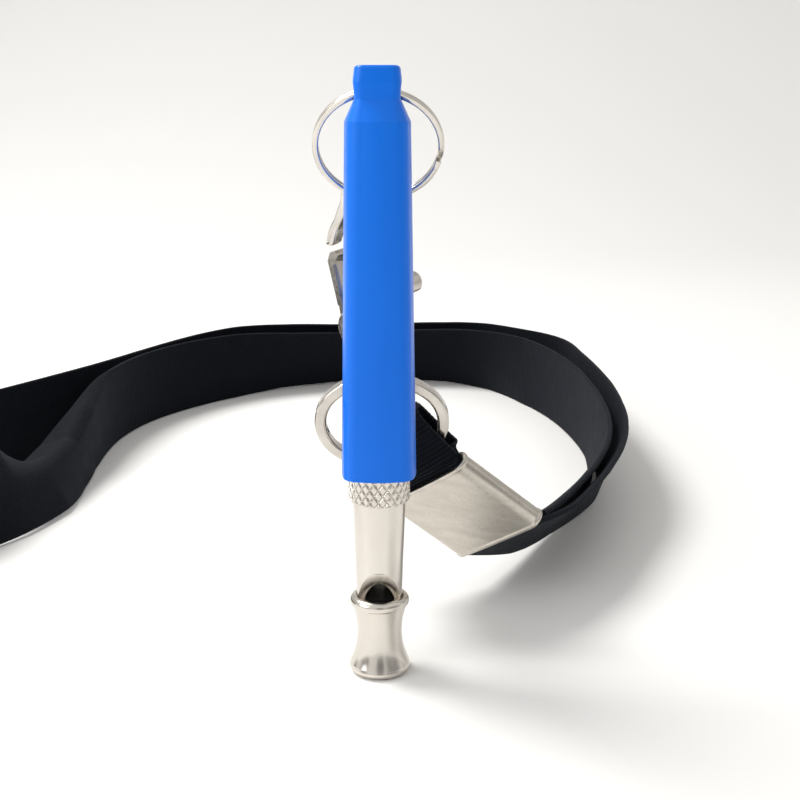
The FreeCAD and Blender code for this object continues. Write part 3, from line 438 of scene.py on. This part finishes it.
# ---------------------------------------------------------------- ferrule
def ferrule():
    """The crimped sheet tube: rolled lips at both ends, and faces that bow a little."""
    half, rise, end, bow = FERRULE_WIDTH / 2, FERRULE_HEIGHT / 2, FERRULE_LENGTH / 2, 0.12 * MM
    # a place along the tube and how far the sheet stands out there, in millimetres
    lips = [(-end, -0.02), (-end + 0.1 * MM, 0.13), (-end + 0.35 * MM, 0.18), (-end + 0.6 * MM, 0.13),
            (-end + 0.75 * MM, -0.02), (-end + 0.9 * MM, -0.04), (-end + 1.2 * MM, 0.0)]
    outside = lips + [(-place, raised) for place, raised in reversed(lips)]
    rows = [(place, raised * MM) for place, raised in outside]
    rows += [(-place, -FERRULE_SHEET) for place in (-end + 0.05 * MM, -end / 3, end / 3, end - 0.05 * MM)]
    vertices = []
    for place, raised in rows:
        for across, out in slot_shape(half + raised, rise + raised, bow):
            vertices.append(FERRULE_CENTRE + ALONG * place + ACROSS * across + FACING * out)
    around = len(slot_shape(half, rise, 0))
    faces = tube_faces(len(rows), around, closed_path=True)
    item = new_piece("ferrule_sheet_tube", vertices, faces, sharp=50)
    put_on(item, "strap", "ferrule_sheet", "ferrule")


def slot_shape(half, rise, bow):
    """Points round a flat oval whose long faces stand out by the bow in their middle."""
    flat, steps, end_steps = half - rise, 24, 12
    places = [1 - 2 * step / steps for step in range(steps + 1)]
    upper = [(flat * place, rise + bow * (1 - place ** 2)) for place in places]
    left = [(-flat - rise * math.sin(turn), rise * math.cos(turn))
            for turn in (math.pi * step / end_steps for step in range(1, end_steps))]
    return upper + left + [(-across, -out) for across, out in upper + left]


# ---------------------------------------------------------------- turned and wound metal
def knurled_collar():
    """The collar with its cut diamonds: two crossing sets of grooves. Sizes are in millimetres."""
    radius, low, high, chamfer = 4.28, 25.7, 35.0, 0.28
    tube_radius, screw_radius, tube_end = 3.67, 1.8, 31.5
    depth, diamonds, tall, sharpness, run_out = 0.24, 22, 1.75, 3.2, 0.3
    around, rows, margin = 264, 84, 0.02
    vertices = []
    profile = [(tube_radius, low)]
    profile += [(None, low + margin + (high - low - 2 * margin) * row / rows) for row in range(rows + 1)]
    profile += [(screw_radius, high), (screw_radius, tube_end), (tube_radius, tube_end)]
    for base, height in profile:
        for step in range(around):
            share = step / around
            if base is None:
                first = saw(share * diamonds + (height - low) / tall)
                second = saw(share * diamonds - (height - low) / tall)
                edge = min(1.0, (height - low) / run_out, (high - height) / run_out)
                groove = depth * (1 - min(1.0, sharpness * min(first, second)))
                here = radius - chamfer * (1 - edge) - groove
            else:
                here = base
            turn = 2 * math.pi * share
            vertices.append((here * MM * math.cos(turn), here * MM * math.sin(turn), height * MM))
    faces = tube_faces(len(profile), around, closed_path=True)
    item = new_piece("collar_with_knurl", vertices, faces, sharp=32)
    put_on(item, "whistle", "nickel_plate", "knurled_collar")


def threaded_screw():
    """The adjusting screw with its half-millimetre thread. Sizes are in millimetres."""
    crest, depth, pitch, low, high = 1.75, 0.28, 0.5, 24.05, 66.0
    tip_radius, tip_length, centre_radius = 0.95, 1.9, 0.01
    around, rows_a_turn = 36, 6
    rows = int((high - low) / pitch * rows_a_turn)
    profile = [(centre_radius, low - tip_length), (tip_radius, low - tip_length), (tip_radius, low)]
    profile += [(None, low + (high - low) * row / rows) for row in range(rows + 1)]
    profile += [(centre_radius, high)]
    vertices = []
    for base, height in profile:
        for step in range(around):
            share = step / around
            here = base if base is not None else crest - depth * (1 - saw(height / pitch - share))
            turn = 2 * math.pi * share
            vertices.append((here * MM * math.cos(turn), here * MM * math.sin(turn), height * MM))
    item = new_piece("screw_with_thread", vertices, tube_faces(len(profile), around), sharp=60)
    put_on(item, "screw", "nickel_plate", "adjusting_screw")


def rounded(value):
    """A cosine or sine squared off a little, which gives wire a flat face with rounded edges."""
    return abs(value) ** 0.6 * (1 if value > 0 else -1)


def split_ring():
    """Two turns of flattened wire with rounded edges, joined by one short step."""
    radius, band, wire = 8.4 * MM, 0.42 * MM, 0.26 * MM
    step_height, step_turn, lean = 0.56 * MM, 16.0, math.radians(33.0)
    total, spacing, around = 720.0 - step_turn, 2.0, 20
    end_share, end_turn = 0.45, 6  # the wire's ends thin out to this share over this many degrees
    swing = joint_named("ring_swing")
    centre = Vector(swing["pos_m"]) + Vector((0, radius * math.sin(lean), -radius * math.cos(lean)))
    turned = Matrix.Rotation(math.pi / 2 + lean, 3, "X")
    vertices = []
    rings = int(total / spacing) + 1
    for ring in range(rings):
        angle = ring * spacing
        climb = max(0.0, min(1.0, (angle - 360 + step_turn) / step_turn))
        climb = climb * climb * (3 - 2 * climb)
        tilt = math.radians(angle)
        taper = min(1.0, end_share + (1 - end_share) * min(angle, total - angle) / end_turn)
        for step in range(around):
            side = 2 * math.pi * step / around
            out = radius + band * rounded(math.cos(side))
            rise = step_height * (climb - 0.5) + wire * taper * rounded(math.sin(side))
            vertices.append(centre + turned @ Vector((out * math.cos(tilt), out * math.sin(tilt), rise)))
    item = new_piece("ring_of_wire", vertices, tube_faces(rings, around), sharp=60)
    put_on(item, "ring", "nickel_plate", "split_ring")


# ---------------------------------------------------------------- pieces that keep their CAD mesh
CAD_PIECES = (
    "mouthpiece", "whistle_tube", "fipple_plug", "tuning_piston", "adjusting_knob", "lock_nut", "cover",
    "snap_body", "snap_gate", "gate_pin", "gate_spring", "swivel_eye", "swivel_rivet",
)


def cad_pieces():
    """Gives the CAD pieces the material of their slot."""
    for row in frame["record"]["subparts"]:
        if row["node"] in CAD_PIECES:
            item = frame["nodes"][row["node"]]
            item.data.materials.clear()
            item.data.materials.append(MATERIALS[row["material_slot"]])


# ---------------------------------------------------------------- studio
def area_light(name, place, target, size, power, colour=(1, 1, 1)):
    light = bpy.data.lights.new(name, "AREA")
    light.shape = "DISK"
    light.size = size
    light.energy = power
    light.color = colour
    item = bpy.data.objects.new(name, light)
    item.location = place
    item.rotation_euler = (Vector(target) - Vector(place)).to_track_quat("-Z", "Y").to_euler()
    bpy.context.scene.collection.objects.link(item)


def backdrop():
    """A pale sweep: a floor that curves up into a wall behind. Sizes are in metres."""
    start, radius, steps = 0.45, 0.5, 24
    reach, half_width = 4.0, 5.0
    profile = [(-reach, 0.0), (-1.0, 0.0), (0.0, 0.0)]
    profile += [(start + radius * math.sin(turn), radius * (1 - math.cos(turn)))
                for turn in (math.pi / 2 * step / steps for step in range(steps + 1))]
    profile += [(start + radius, reach)]
    vertices = [(side * half_width, along, height) for along, height in profile for side in (-1, 1)]
    faces = [(2 * row, 2 * row + 1, 2 * row + 3, 2 * row + 2) for row in range(len(profile) - 1)]
    item = new_piece("floor", vertices, faces)
    material, tree, shader = new_material("floor", Roughness=0.55, Specular_IOR_Level=0.2)
    mottle = noise(tree, stretched(tree, "Object", (1, 1, 1)), 3.0)
    tree.links.new(mix_colour(tree, mottle, (0.845, 0.84, 0.83, 1), (0.875, 0.87, 0.86, 1)),
                   shader.inputs["Base Color"])
    item.data.materials.append(material)


WORLD_STRENGTH = 0.80
# A darker patch of the white room: its direction, the cosines where it starts and ends, and its brightness.
DARK_PATCHES = (
    ((0.80, -0.58, 0.12), 0.82, 0.95, 0.45),
    ((-0.88, -0.44, 0.18), 0.93, 0.98, 0.3),
    ((0.05, -0.97, 0.25), 0.95, 0.99, 0.35),
)


def studio_world():
    """A white room with darker patches, which the polished metal mirrors."""
    world = bpy.data.worlds.new("studio")
    world.use_nodes = True
    tree = world.node_tree
    way = add(tree, "TexCoord").outputs["Generated"]
    shade = 1.0
    for direction, edge, core, dark in DARK_PATCHES:
        facing = add(tree, "VectorMath", [(0, way), (1, direction)], operation="DOT_PRODUCT").outputs["Value"]
        patch = remap(tree, facing, 1.0, dark, edge, core)
        shade = add(tree, "Math", [(0, shade), (1, patch)], operation="MULTIPLY").outputs[0]
    background = tree.nodes["Background"]
    background.inputs["Strength"].default_value = WORLD_STRENGTH
    tree.links.new(mix_colour(tree, shade, (0, 0, 0, 1), (1.0, 0.99, 0.97, 1)), background.inputs["Color"])
    bpy.context.scene.world = world


CAMERA_PLACE = (0.0029, -0.159, 0.0796)
CAMERA_DOWN = 14  # degrees below level
CAMERA_LENS = 54  # millimetres, on a sensor 36 wide


def camera():
    """The photograph's view: a little below the whistle's top, and looking down."""
    data = bpy.data.cameras.new("camera")
    data.lens = CAMERA_LENS
    data.sensor_width = 36
    data.clip_start = 0.005
    item = bpy.data.objects.new("camera", data)
    item.location = CAMERA_PLACE
    item.rotation_euler = (math.radians(90 - CAMERA_DOWN), 0, 0)
    bpy.context.scene.collection.objects.link(item)
    bpy.context.scene.camera = item


# ---------------------------------------------------------------- the object and its studio
neck_loop()
eye_loop()
ferrule()
knurled_collar()
threaded_screw()
split_ring()
cad_pieces()

backdrop()
studio_world()
area_light("key", place=(-0.35, 0.20, 0.60), target=(0, 0.05, 0.03), size=0.30, power=4.2,
           colour=(1, 0.985, 0.96))
area_light("side", place=(-0.34, -0.16, 0.20), target=(0, 0, 0.05), size=0.26, power=0.5)
camera()
bpy.context.scene.view_settings.view_transform = "Standard"
